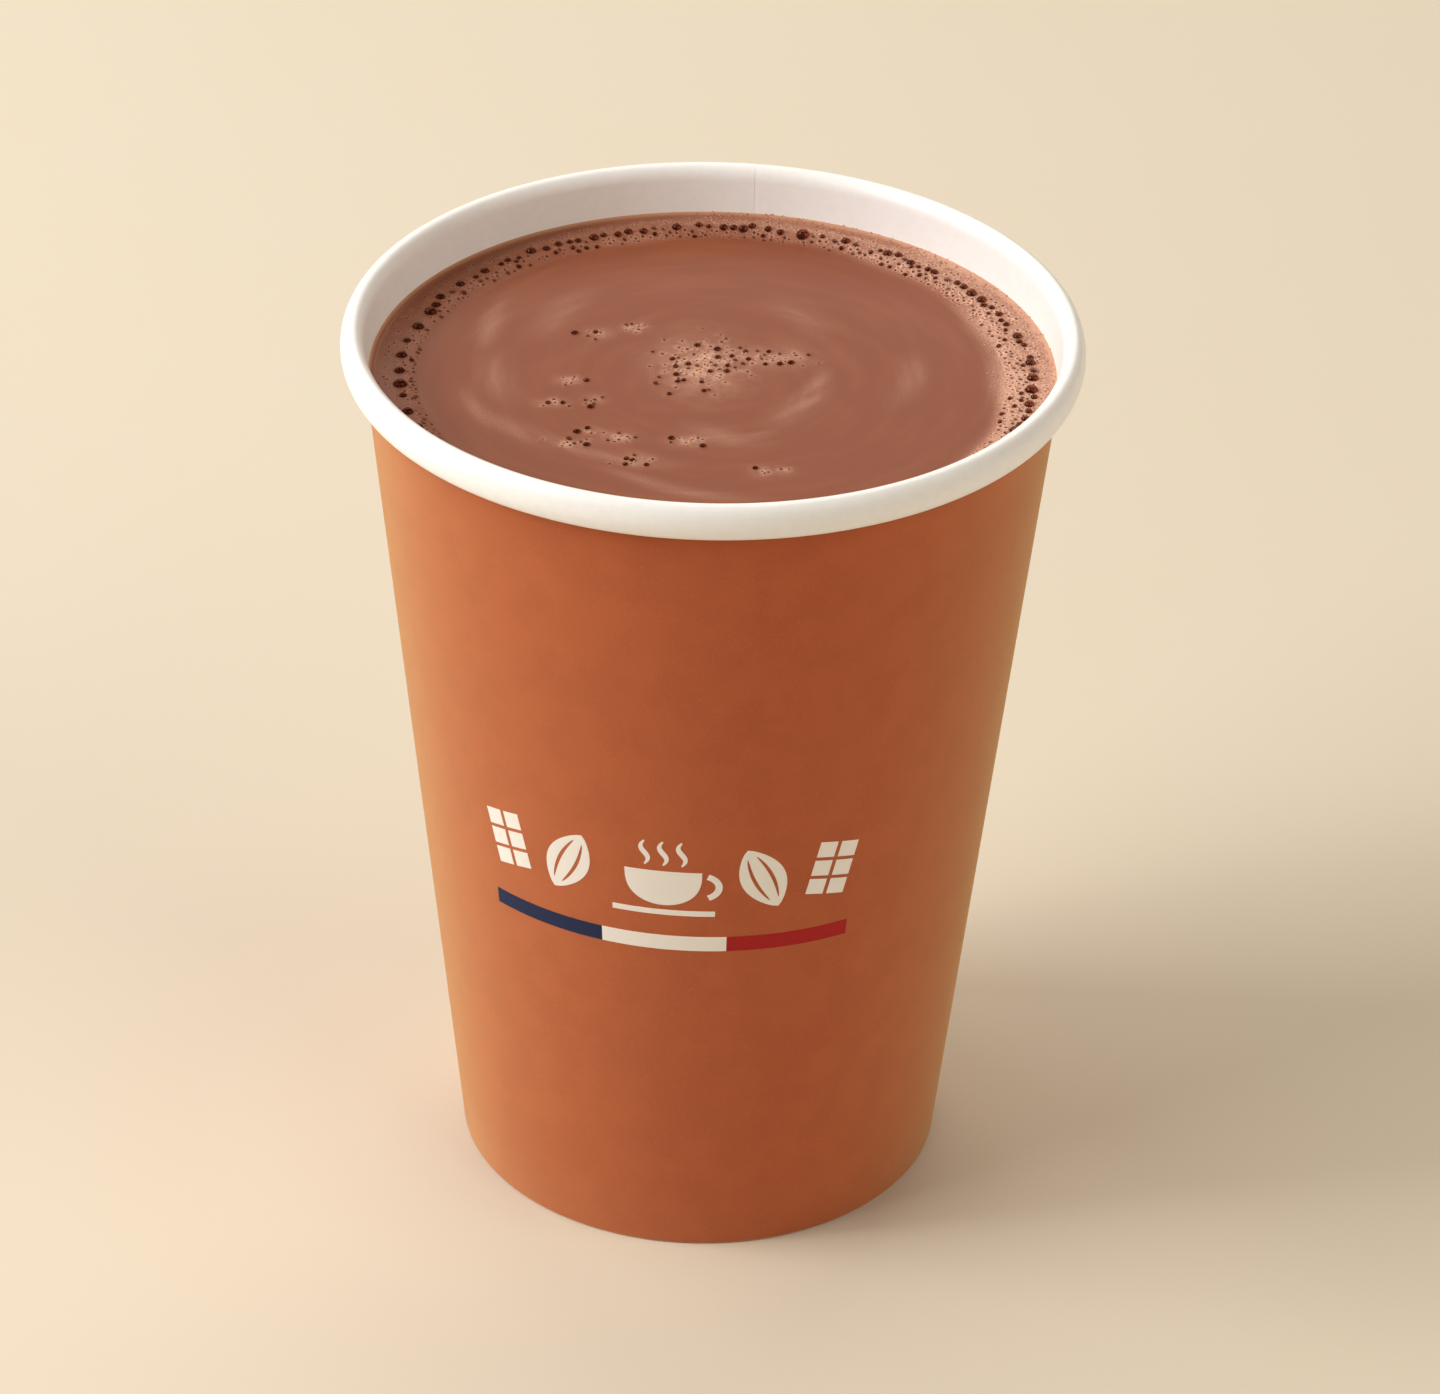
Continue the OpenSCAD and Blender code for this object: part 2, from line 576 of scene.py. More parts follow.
@dataclass(frozen=True)
class MilkFroth(Finish):
    """The finest milk froth: pale, wet beads that catch the light as specks."""

    name: str = "fine_wet_milk_froth"
    colour: str = "#CE9E85"
    roughness: float = 0.16
    ior: float = 1.36
    grain_mm: float = 0.9
    relief_mm: float = 0.0
    deep_colour: str = "#B57F67"

    def make(self) -> bpy.types.Material:
        """Build the material: beads that differ a little in tone from place to place."""
        material, tree, shader, place = self.start()
        tone = ramp(tree, self.noise(tree, place, self.grain_mm, Grain.MICROFOAM), 0.3, 0.7, (0, 1))
        base = self.blend(tree, tone, linear(self.colour), linear(self.deep_colour))
        tree.links.new(base, shader.inputs["Base Color"])
        return material


@dataclass(frozen=True)
class StudioPaper(Finish):
    """A seamless roll of cream background paper: dead matt."""

    name: str = "cream_background_paper"
    colour: str = "#DBCFBA"
    cloud_colour: str = "#D6C4A4"
    roughness: float = 0.9
    ior: float = 1.45
    grain_mm: float = 60.0
    relief_mm: float = 0.02

    def make(self) -> bpy.types.Material:
        """Build the material: an even cream with a barely uneven tone."""
        material, tree, shader, place = self.start()
        fibres = self.noise(tree, place, self.grain_mm, Grain.MICROFOAM)
        cloud = ramp(tree, fibres, 0.3, 0.7, (0, 0.05))
        base = self.blend(tree, cloud, linear(self.colour), linear(self.cloud_colour))
        tree.links.new(base, shader.inputs["Base Color"])
        return material


# ---------------------------------------------------------------- the cup


@dataclass
class SheetShape:
    """The cup wall's sheet in section: hem, fold, wall and rolled rim."""

    rim_r: float
    cup_h: float
    foot_r: float = 30.5
    sheet_t: float = 0.4
    curl_w: float = 2.9
    curl_h: float = 4.6
    hem_h: float = 7.0
    flange_room: float = 0.43
    curl_gap: float = 0.45
    curl_steps: int = 34
    fold_steps: int = 5
    wall_steps: int = 12
    hem_steps: int = 3

    def __post_init__(self) -> None:
        """Work out the lean of the wall, which runs into the roll as a tangent."""
        self.half = np.array([self.curl_w / 2, self.curl_h / 2])
        self.centre = np.array([self.rim_r - self.half[0], self.cup_h - self.half[1]])
        self.toe = np.array([self.foot_r - self.sheet_t, 0.0])
        seen = (self.toe - self.centre) / self.half
        self.curl_start = (
            math.atan2(seen[1], seen[0]) - math.acos(1 / float(np.hypot(*seen))) + 2 * math.pi
        )
        run = self.curl_point(self.curl_start) - self.toe
        self.lean = math.atan2(run[0], run[1])

    def curl_point(self, angle: float) -> np.ndarray:
        """Give a point on the white side of the roll."""
        return self.centre + self.half * unit(angle)

    def wall_r(self, z: float, out: float = 0.0) -> float:
        """Give the radius of the wall's white side at a height, or of a parallel to it."""
        return self.toe[0] + z * math.tan(self.lean) + out / math.cos(self.lean)

    def curl_end(self) -> float:
        """Find the angle where the roll comes back to the wall's printed side."""
        for degree in range(-170, -60):
            point = self.curl_point(math.radians(degree))
            if point[0] - self.wall_r(point[1], self.sheet_t) >= self.curl_gap:
                return math.radians(degree)
        return math.radians(-90)

    def white_side(self) -> tuple[np.ndarray, np.ndarray]:
        """Follow the sheet's white side from the hem's edge to the roll's edge.

        Returns:
            The points, and the direction in which the white side faces at each.
        """
        inward = math.pi - self.lean
        outward = -self.lean
        points: list[np.ndarray] = []
        facings: list[np.ndarray] = []

        def put(point: Sequence[float], angle: float) -> None:
            """Add one point of the section."""
            points.append(np.array(point, float))
            facings.append(unit(angle))

        for z in np.linspace(self.hem_h, self.sheet_t, self.hem_steps, endpoint=False):
            put((self.wall_r(z, -self.flange_room), z), outward)
        for first, last, room in (
            (outward, math.pi / 2, -self.flange_room),
            (math.pi / 2, inward, 0.0),
        ):
            for angle in np.linspace(first, last, self.fold_steps + 1):
                put((self.wall_r(self.sheet_t, room), self.sheet_t), angle)
        top = self.curl_point(self.curl_start)[1]
        for z in np.linspace(self.sheet_t, top, self.wall_steps + 1)[1:-1]:
            put((self.wall_r(z), z), inward)
        for angle in np.linspace(self.curl_start, self.curl_end(), self.curl_steps + 1):
            slope = unit(angle) / self.half
            put(self.curl_point(angle), math.atan2(slope[1], slope[0]))
        return np.array(points), np.array(facings)


@dataclass
class CupWall:
    """The wall's sheet, wrapped round until it laps over itself at the back."""

    rim_r: float
    cup_h: float
    lap_w: float = 7.0
    skive_w: float = 3.0
    skive_lead: float = 0.5
    skive_share: float = 0.97
    ply_gap: float = 0.01
    knurl_depth: float = 0.09
    knurls: int = 120
    steps_per_knurl: int = 4
    print_finish: PrintedBoard = field(default_factory=PrintedBoard)
    white_finish: LinedBoard = field(default_factory=LinedBoard)

    def __post_init__(self) -> None:
        """Work out the section."""
        self.shape = SheetShape(self.rim_r, self.cup_h)

    def section(self) -> bpy.types.Mesh:
        """Draw the sheet's section as a closed loop, with what each point needs.

        Returns:
            A loop of edges whose points carry their place in the section, the way from
            the white side to the printed side, and weights for the fold and the knurls.
        """
        shape = self.shape
        white, facing = shape.white_side()
        printed = white - shape.sheet_t * facing
        flat = np.vstack([white, printed[::-1]])
        across = np.vstack([-facing, -facing[::-1]])
        is_print = np.repeat([0.0, 1.0], len(white))
        place = np.column_stack([flat[:, 0], np.zeros(len(flat)), flat[:, 1]]) * MM
        loop = np.column_stack([flat - flat.mean(axis=0), np.zeros(len(flat))]) * MM
        ring = [(i, (i + 1) % len(flat)) for i in range(len(flat))]
        mesh = new_mesh("wall_section", loop, edges=ring)
        store(mesh, "section", place)
        store(mesh, "across", np.column_stack([across[:, 0], np.zeros(len(flat)), across[:, 1]]))
        store(mesh, "fold", 1 - smooth((flat[:, 1] - 1.0) / 4.0))
        in_hem = (is_print > 0) & (flat[:, 0] < shape.wall_r(flat[:, 1], -shape.flange_room))
        hem = in_hem & (flat[:, 1] > 1.2) & (flat[:, 1] < shape.hem_h - 0.3)
        store(mesh, "knurl", hem.astype(float))
        store(mesh, "printed", is_print)
        return mesh

    def tree(self) -> tuple[ShapeTree, Socket]:
        """Build the tree that sweeps the section round the cup.

        Returns:
            The tree and the socket that holds the wrapped sheet.
        """
        shape = self.shape
        lap = self.lap_w / shape.foot_r
        sweep = 2 * math.pi + lap
        steps = round(sweep / (2 * math.pi) * self.knurls * self.steps_per_knurl)
        tree = ShapeTree(
            "wrap_paper_sheet",
            steps=steps,
            sweep=sweep,
            lap=lap,
            skive=self.skive_w / shape.foot_r,
            skive_lead=self.skive_lead / shape.foot_r,
            skive_share=self.skive_share,
            sheet=shape.sheet_t * MM,
            start=math.pi / 2 - lap / 2,
            ply=(shape.sheet_t + self.ply_gap) * MM,
            knurl_depth=self.knurl_depth * MM,
            knurls=self.knurls,
            print_side=self.print_finish.make(),
            white_side=self.white_finish.make(),
        )
        calc_ = tree.calc
        index = tree.add("GeometryNodeInputIndex").outputs["Index"]
        share = calc_("DIVIDE", index, tree.given("Steps"))
        turn = calc_("MULTIPLY", share, tree.given("Sweep"))
        line = tree.add(
            "GeometryNodeMeshLine", {"Count": calc_("ADD", tree.given("Steps"), 1)}
        ).outputs["Mesh"]
        marked = tree.add(
            "GeometryNodeStoreNamedAttribute",
            {"Geometry": line, "Name": "turn", "Value": turn},
            data_type="FLOAT",
            domain="POINT",
        ).outputs["Geometry"]
        circle = tree.add(
            "ShaderNodeCombineXYZ", {"X": calc_("COSINE", turn), "Y": calc_("SINE", turn)}
        ).outputs["Vector"]
        path = tree.add("GeometryNodeSetPosition", {"Geometry": marked, "Position": circle})
        way = tree.add("GeometryNodeMeshToCurve", {"Mesh": path.outputs["Geometry"]})
        outline = tree.add("GeometryNodeMeshToCurve", {"Mesh": tree.given("Geometry")})
        swept = tree.add(
            "GeometryNodeCurveToMesh",
            {
                "Curve": way.outputs["Curve"],
                "Profile Curve": outline.outputs["Curve"],
                "Fill Caps": True,
            },
        ).outputs["Mesh"]
        return tree, self.place_sheet(tree, swept)

    def place_sheet(self, tree: ShapeTree, swept: Socket) -> Socket:
        """Move every point of the swept sheet to its place round the cup.

        Args:
            tree: The tree to add to.
            swept: The swept section, whose points know their turn and their section.

        Returns:
            The placed and painted sheet.
        """
        calc_ = tree.calc
        turn = tree.attribute("turn")
        lap_from = calc_("SUBTRACT", tree.given("Sweep"), tree.given("Lap"))
        climb_from = calc_("SUBTRACT", lap_from, tree.given("Skive lead"))
        climb_to = calc_("ADD", lap_from, tree.given("Skive"))
        settled = calc_("ADD", tree.given("Lap"), tree.given("Skive"))
        outer = ramp(tree.tree, turn, climb_from, climb_to, (0.0, 1.0))
        thin = ramp(tree.tree, turn, 0.0, tree.given("Skive"), (1.0, 0.0))
        inner = ramp(tree.tree, turn, tree.given("Lap"), settled, (1.0, 0.0))
        place = tree.add(
            "ShaderNodeSeparateXYZ", {"Vector": tree.attribute("section", "FLOAT_VECTOR")}
        ).outputs
        across = tree.add(
            "ShaderNodeSeparateXYZ", {"Vector": tree.attribute("across", "FLOAT_VECTOR")}
        ).outputs
        ply = calc_("MULTIPLY", outer, tree.given("Ply"))
        shaved = calc_("MULTIPLY", thin, tree.given("Skive share"))
        shaved = calc_("MULTIPLY", shaved, tree.given("Sheet"))
        shaved = calc_("MULTIPLY", shaved, tree.attribute("printed"))
        ply = calc_("SUBTRACT", ply, shaved)
        lift = calc_("MULTIPLY", calc_("MAXIMUM", outer, inner), tree.given("Ply"))
        lift = calc_("MULTIPLY", lift, tree.attribute("fold"))
        wave = calc_("COSINE", calc_("MULTIPLY", turn, tree.given("Knurls")))
        press = calc_("MULTIPLY", calc_("MULTIPLY", wave, 0.5), tree.given("Knurl depth"))
        press = calc_("MULTIPLY", press, tree.attribute("knurl"))
        radius = calc_("ADD", place["X"], calc_("MULTIPLY", ply, across["X"]))
        radius = calc_("ADD", radius, press)
        height = calc_("ADD", place["Z"], calc_("MULTIPLY", ply, across["Z"]))
        height = calc_("ADD", height, lift)
        angle = calc_("ADD", turn, tree.given("Start"))
        spot = tree.add(
            "ShaderNodeCombineXYZ",
            {
                "X": calc_("MULTIPLY", radius, calc_("COSINE", angle)),
                "Y": calc_("MULTIPLY", radius, calc_("SINE", angle)),
                "Z": height,
            },
        ).outputs["Vector"]
        sheet = tree.add("GeometryNodeSetPosition", {"Geometry": swept, "Position": spot})
        white = tree.coat(sheet.outputs["Geometry"], "White side")
        is_print = calc_("GREATER_THAN", tree.attribute("printed"), 0.5)
        return tree.coat(white, "Print side", is_print)

    def build(self) -> bpy.types.Object:
        """Make the wall and hand it over."""
        tree, sheet = self.tree()
        piece = tree.run("cup_wall_sheet", self.section(), sheet)
        shade_by_angle(piece.data, math.radians(35))
        return hand_over(piece, ["cup_wall"])


def shade_by_angle(mesh: bpy.types.Mesh, limit: float) -> None:
    """Shade a mesh smooth, but for edges that turn by more than limit radians."""
    mesh.shade_smooth()
    mesh.set_sharp_from_angle(angle=limit)


@dataclass
class CupBottom:
    """The bottom disc with its flange, which the frame already holds in shape."""

    finish: LinedBoard = field(
        default_factory=lambda: LinedBoard(name="bottom_disc_board", grain_mm=2.2)
    )

    def dress(self, node: bpy.types.Object) -> None:
        """Give the frame's own disc its board finish."""
        node.data.materials.clear()
        node.data.materials.append(self.finish.make())


# ---------------------------------------------------------------- the drink


@dataclass(frozen=True)
class Isle:
    """A small raft of froth on the drink: where it floats and how many bubbles it has."""

    x: float
    y: float
    spread_x: float
    spread_y: float
    bubbles: int
    paleness: float


@dataclass(frozen=True)
class Wisp:
    """A pale arc that stirring left on the drink, drifting outwards by drift."""

    radius: float
    start_deg: float
    end_deg: float
    width: float
    paleness: float
    drift: float


@dataclass
class Stirring:
    """What the last stir left: a raft in the middle, small rafts and pale arcs."""

    raft_w: float = 4.0
    raft_d: float = 5.0
    raft_bubbles: int = 92
    small_rafts: int = 12
    drift_near: float = 10.0
    drift_far: float = 25.0
    drift_deg: float = 235.0
    drift_spread_deg: float = 50.0
    arcs: int = 14
    seed: int = 4

    def rafts(self) -> list[Isle]:
        """Set the middle raft with its heart and tail, and let small ones drift round it."""
        wide, deep, count = self.raft_w, self.raft_d, self.raft_bubbles
        found = [
            Isle(-1.5, deep / 2, wide, deep, count, 0.54),
            Isle(-1.0, deep * 0.9, wide * 0.4, deep / 2, count // 15, 0.7),
            Isle(wide * 1.4, deep, wide * 1.1, deep * 0.4, count // 2, 0.42),
        ]
        draw = np.random.default_rng(self.seed)
        for _ in range(self.small_rafts):
            reach = draw.uniform(self.drift_near, self.drift_far)
            way = unit(math.radians(draw.normal(self.drift_deg, self.drift_spread_deg)))
            size = draw.uniform(0.8, 1.8)
            flat = size * draw.uniform(0.5, 0.9)
            found.append(Isle(*(reach * way), size, flat, round(6 * size), 0.2 + 0.12 * size))
        return found

    def wisps(self) -> list[Wisp]:
        """Draw pale arcs all round, the thin ones the clearest."""
        draw = np.random.default_rng(self.seed + 1)
        found = []
        for _ in range(self.arcs):
            start = draw.uniform(0, 360)
            width = draw.uniform(0.6, 2.2)
            reach = draw.uniform(35, 75)
            drift = draw.uniform(-3, 3)
            found.append(
                Wisp(draw.uniform(12, 30), start, start + reach, width, 0.42 - 0.12 * width, drift)
            )
        return found


@dataclass
class Bubbles:
    """Open bubbles on the drink: places and radii in millimetres."""

    places: np.ndarray
    radii: np.ndarray

    def clear_of(self, place: np.ndarray, radius: float, gap: float) -> bool:
        """Tell whether a new bubble would stand clear of all that are there."""
        if not len(self.radii):
            return True
        away = np.hypot(*(self.places - place).T)
        return bool(np.all(away > self.radii + radius + gap))

    def add(self, place: np.ndarray, radius: float, gap: float) -> None:
        """Add a bubble if it stands clear of the others."""
        if self.clear_of(place, radius, gap):
            self.places = np.vstack([self.places, place])
            self.radii = np.append(self.radii, radius)


@dataclass
class Drink:
    """The drink: a wet surface with froth at the wall and rafts of bubbles."""

    top_z: float
    disc_z: float
    shape: SheetShape
    bend_r: float = 1.0
    flange_play: float = 0.04
    soak: float = 0.05
    wall_bite: float = 0.12
    froth_h: float = 0.5
    froth_w: float = 6.0
    meniscus_h: float = 0.6
    meniscus_w: float = 0.9
    edge_points: int = 480
    row_inset: float = 3.35
    row_gap: float = 1.05
    large_r: float = 0.25
    meniscus_step: float = 0.14
    froth_step: float = 0.34
    plain_step: float = 0.85
    froth_margin: float = 1.5
    seed: int = 11
    stirring: Stirring = field(default_factory=Stirring)
    finish: MilkChocolate = field(default_factory=MilkChocolate)

    def __post_init__(self) -> None:
        """Work out where the drink meets the wall, and set up the random draws."""
        self.level = self.top_z - self.froth_h - self.meniscus_h
        self.edge_r = self.shape.wall_r(self.top_z)
        self.draw = np.random.default_rng(self.seed)
        self.isles = self.stirring.rafts()
        self.wisps = self.stirring.wisps()
        self.bubbles = Bubbles(np.zeros((0, 2)), np.zeros(0))

    def band_w(self, turn: np.ndarray) -> np.ndarray:
        """Give the froth's width at an angle: wider at the right and at the left."""
        return self.froth_w + 0.9 * np.cos(2 * turn) + 0.5 * np.sin(3 * turn + 1.0)

    def row_bubbles(self) -> None:
        """Lay the row of large bubbles that rings the drink a few millimetres in."""
        turn = 0.0
        while turn < 2 * math.pi:
            right = math.cos(turn)
            inset = self.row_inset - 0.45 * right + self.draw.normal(0, 0.2)
            mean = 0.44 + 0.14 * right**2
            radius = float(np.clip(self.draw.normal(mean, 0.1), 0.28, 0.8))
            r = self.edge_r - inset
            self.bubbles.add(r * unit(turn), radius, 0.1)
            for low, high in ((0.7, 1.2), (1.1, 1.9)):
                small = self.draw.uniform(0.16, 0.34)
                aside = self.draw.uniform(-1.0, 1.0) / r
                reach = r - self.draw.uniform(low, high)
                self.bubbles.add(reach * unit(turn + aside), small, 0.09)
            gap = self.row_gap + 1.9 * max(0.0, -right) ** 3
            turn += (radius + gap * self.draw.uniform(0.5, 1.4)) / r

    def scatter_ring(
        self, count: int, near: float, far: float, radii: tuple[float, float], gap: float
    ) -> None:
        """Throw small bubbles into a ring, more to the right, and keep those that fit.

        Args:
            count: How many are thrown.
            near: The ring's nearest distance from the wall.
            far: Its farthest distance, where the band is as wide as froth_w.
            radii: The least and the greatest radius.
            gap: The film left between two bubbles.
        """
        turns = self.draw.uniform(0, 2 * math.pi, count)
        shares = self.draw.random(count)
        small, large = radii
        for turn, share in zip(turns, shares):
            if self.draw.random() > 0.66 + 0.34 * math.cos(turn):
                continue
            reach = near + (far - near) * share * self.band_w(turn) / self.froth_w
            radius = small + (large - small) * self.draw.random() ** 1.8
            radius *= 1 + 0.35 * max(0.0, math.cos(turn))
            self.bubbles.add((self.edge_r - reach) * unit(turn), radius, gap)

    def isle_bubbles(self) -> None:
        """Scatter each raft's bubbles, closer together towards its middle."""
        for isle in self.isles:
            spread = np.array([isle.spread_x, isle.spread_y])
            for _ in range(round(isle.bubbles * 1.5)):
                place = (isle.x, isle.y) + self.draw.normal(0, 0.66, 2) * spread
                radius = 0.14 + 0.3 * self.draw.random() ** 1.6
                self.bubbles.add(place, radius, 0.1)

    def blow(self) -> None:
        """Place all bubbles, the largest first."""
        self.row_bubbles()
        self.scatter_ring(2600, 3.7, 5.6, (0.12, 0.27), 0.1)
        self.scatter_ring(1500, 1.2, 3.2, (0.1, 0.19), 0.16)
        self.isle_bubbles()

    def pale(self, flat: np.ndarray) -> np.ndarray:
        """Tell how frothy the surface is at each point; round the wall this also holds painted
        light.

        Args:
            flat: Places on the drink, N by 2.

        Returns:
            0 for plain drink up to 1 for dense froth.
        """
        r = np.hypot(*flat.T)
        turn = np.arctan2(flat[:, 1], flat[:, 0])
        from_wall = self.edge_r - r
        wobble = 0.35 * np.sin(7 * turn + 1) + 0.25 * np.sin(13 * turn + 2)
        # paler to the right, thinner to the left: partly the froth's own spread, partly painted
        # light for the lit right side and the left rim's shadow
        density = 0.1 + 0.9 * (0.5 + 0.5 * np.cos(turn - 0.15)) ** 2.4
        reach = self.band_w(turn) - 2.2 + wobble
        froth = density * (1 - smooth((from_wall - reach) / 3.6))
        for isle in self.isles:
            off = (flat - (isle.x, isle.y)) / (isle.spread_x, isle.spread_y)
            froth = np.maximum(froth, isle.paleness * np.exp(-(off**2).sum(axis=1) / 1.6))
        for wisp in self.wisps:
            middle = math.radians((wisp.start_deg + wisp.end_deg) / 2)
            reach = math.radians((wisp.end_deg - wisp.start_deg) / 2)
            off = np.angle(np.exp(1j * (turn - middle))) / reach
            drift = wisp.radius + wisp.drift * off
            across = np.exp(-(((r - drift) / wisp.width) ** 2))
            froth = np.maximum(froth, wisp.paleness * across * (1 - smooth(np.abs(off))))
        return froth

    def height(self, flat: np.ndarray) -> np.ndarray:
        """Give the surface's height without its bubbles: level, froth and meniscus."""
        r = np.hypot(*flat.T)
        turn = np.arctan2(flat[:, 1], flat[:, 0])
        from_wall = np.maximum(self.edge_r - r, 0)
        slope = 3 * (1 - from_wall / self.band_w(turn))
        climb = np.maximum(0, 1 - from_wall / self.meniscus_w)
        return self.level + self.froth_h * smooth(slope) + self.meniscus_h * climb**2

    def ring_points(self) -> tuple[np.ndarray, np.ndarray, np.ndarray, np.ndarray]:
        """Surround each bubble with rings of points.

        Returns:
            Their places, their heights over the surface, the painted shade of the holes and the lip
            shares, which get a painted highlight.
        """
        spots, rises, pit_shades, lip_highlights, owners = [], [], [], [], []
        for number, (place, radius) in enumerate(zip(self.bubbles.places, self.bubbles.radii)):
            large = radius > self.large_r
            shares = (0.0, 0.45, 0.78, 0.95, 1.07, 1.28) if large else (0.0, 0.72, 1.1)
            count = 16 if radius > 0.4 else 12 if large else 9
            depth = (0.75 if large else 0.9) * radius
            lip = min(0.13 * radius + 0.02, 0.09)
            # painted shade: large holes get it in full, small ones less, and it grows towards each
            # hole's bottom
            pit_shade_strength = 1.0 if large else 0.4 + 2.2 * radius
            for row, share in enumerate(shares):
                points = count if share else 1
                ring = radius * share * circle(points, row)
                drop = -depth * math.sqrt(max(0.0, 1 - share**2))
                rise = drop if share < 1 else lip if share < 1.2 else lip * 0.25
                spots.append(place + ring)
                rises.append(np.full(points, rise))
                pit_shades.append(np.full(points, pit_shade_strength * min(1.0, max(0.0, (0.99 - share) / 0.25))))
                lip_highlights.append(np.full(points, 1.0 if 1 < share < 1.2 else 0.0))
                owners.append(np.full(points, number))
        flat, owner = np.vstack(spots), np.concatenate(owners)
        keep = np.ones(len(flat), bool)
        for number, (place, radius) in enumerate(zip(self.bubbles.places, self.bubbles.radii)):
            away = np.hypot(*(flat - place).T)
            keep &= (away > radius * 1.06) | (owner == number)
        parts = (np.concatenate(part)[keep] for part in (rises, pit_shades, lip_highlights))
        return flat[keep], *parts

    def step_at(self, inset: float) -> float:
        """Give the spacing of the surface's points at a distance from the wall."""
        return self.froth_step if inset < self.froth_w + self.froth_margin else self.plain_step

    def field_points(self) -> np.ndarray:
        """Spread points between the bubbles, closer together in the froth.

        Returns:
            Places, N by 2.
        """
        rows, insets = [], [0.0]
        while insets[-1] < self.edge_r - 1:
            inset = insets[-1]
            step = self.meniscus_step if inset < self.meniscus_w else self.step_at(inset)
            insets.append(inset + step)
        for number, inset in enumerate(insets[1:-1]):
            r = self.edge_r - inset
            count = max(6, round(2 * math.pi * r / self.step_at(inset)))
            rows.append(r * circle(count, number))
        flat = np.vstack([*rows, np.zeros((1, 2))])
        keep = np.ones(len(flat), bool)
        for place, radius in zip(self.bubbles.places, self.bubbles.radii):
            away = np.hypot(*(flat - place).T)
            keep &= away > radius * 1.22 + 0.06
        return flat[keep]

    def surface(self) -> tuple[np.ndarray, dict[str, np.ndarray], list[tuple[int, ...]]]:
        """Triangulate the surface.

        Returns:
            Points N by 3, the attributes by name, and faces. The first edge_points
            points run round the wall.
        """
        rim = (self.edge_r + self.wall_bite) * circle(self.edge_points)
        plain = self.field_points()
        places, heights, pit_shades, lip_highlights = self.ring_points()
        flat = np.vstack([rim, plain, places])
        calm = np.zeros(len(rim) + len(plain))
        rise = np.concatenate([calm, heights])
        pit_shade = np.concatenate([calm, pit_shades])
        lip = np.concatenate([calm, lip_highlights])
        inside = np.hypot(*flat.T) < self.edge_r - 0.02
        inside[: self.edge_points] = True
        flat, rise, pit_shade, lip = flat[inside], rise[inside], pit_shade[inside], lip[inside]
        spots = [Vector(p) for p in flat]
        _, _, faces, origins, _, _ = delaunay_2d_cdt(spots, [], [], 0, 1e-6)
        first = [o[0] for o in origins]
        faces = [tuple(first[i] for i in face) for face in faces]
        froth = self.pale(flat)
        uneven = 0.03 * froth * self.draw.normal(0, 0.6, len(flat)) * (pit_shade == 0)
        z = self.height(flat) + rise + uneven
        climbing = 1 - smooth((self.edge_r - np.hypot(*flat.T)) / 0.55)
        traits = {"pit_shade": pit_shade, "lip": lip, "froth": froth, "edge": 0.85 * climbing}
        return np.column_stack([flat, z]), traits, faces

    def underside(self) -> list[tuple[float, float]]:
        """Trace the drink's side and underside, a hair inside the paper they lie on.

        Returns:
            Radii and heights, down the wall and up round the bottom disc's bend.
        """
        lean = self.shape.lean
        bend_z = self.disc_z - self.bend_r
        bend_x = self.shape.wall_r(bend_z, -self.flange_play - self.bend_r)
        low = bend_z - self.bend_r * math.sin(lean)
        heights = np.linspace(self.top_z - 0.4, low, 14)
        side = [(self.shape.wall_r(z) + self.wall_bite, z) for z in heights]
        arc = [bend_x, bend_z] + (self.bend_r - self.soak) * np.array(
            [unit(angle) for angle in np.linspace(-lean, math.pi / 2, 8)]
        )
        return side + [tuple(point) for point in arc]

    def build(self) -> bpy.types.Object:
        """Make the drink as one closed piece and hand it over."""
        self.blow()
        top, traits, faces = self.surface()
        count = self.edge_points
        sides = [
            np.column_stack([r * circle(count), np.full(count, z)]) for r, z in self.underside()
        ]
        first = len(top)
        starts = [0, *(first + i * count for i in range(len(sides)))]
        for upper, lower in zip(starts, starts[1:]):
            for i in range(count):
                j = (i + 1) % count
                faces.append((upper + j, upper + i, lower + i, lower + j))
        faces.append(tuple(starts[-1] + i for i in reversed(range(count))))
        points = np.vstack([top, *sides])
        extra = np.zeros(len(points) - first)
        mesh = new_mesh("hot_chocolate_drink", points * MM, faces)
        for name, values in traits.items():
            store(mesh, name, np.concatenate([values, extra]))
        mesh.materials.append(self.finish.make())
        shade_by_angle(mesh, math.radians(60))
        piece = link_object("hot_chocolate_drink", mesh)
        return hand_over(piece, ["hot_chocolate"])


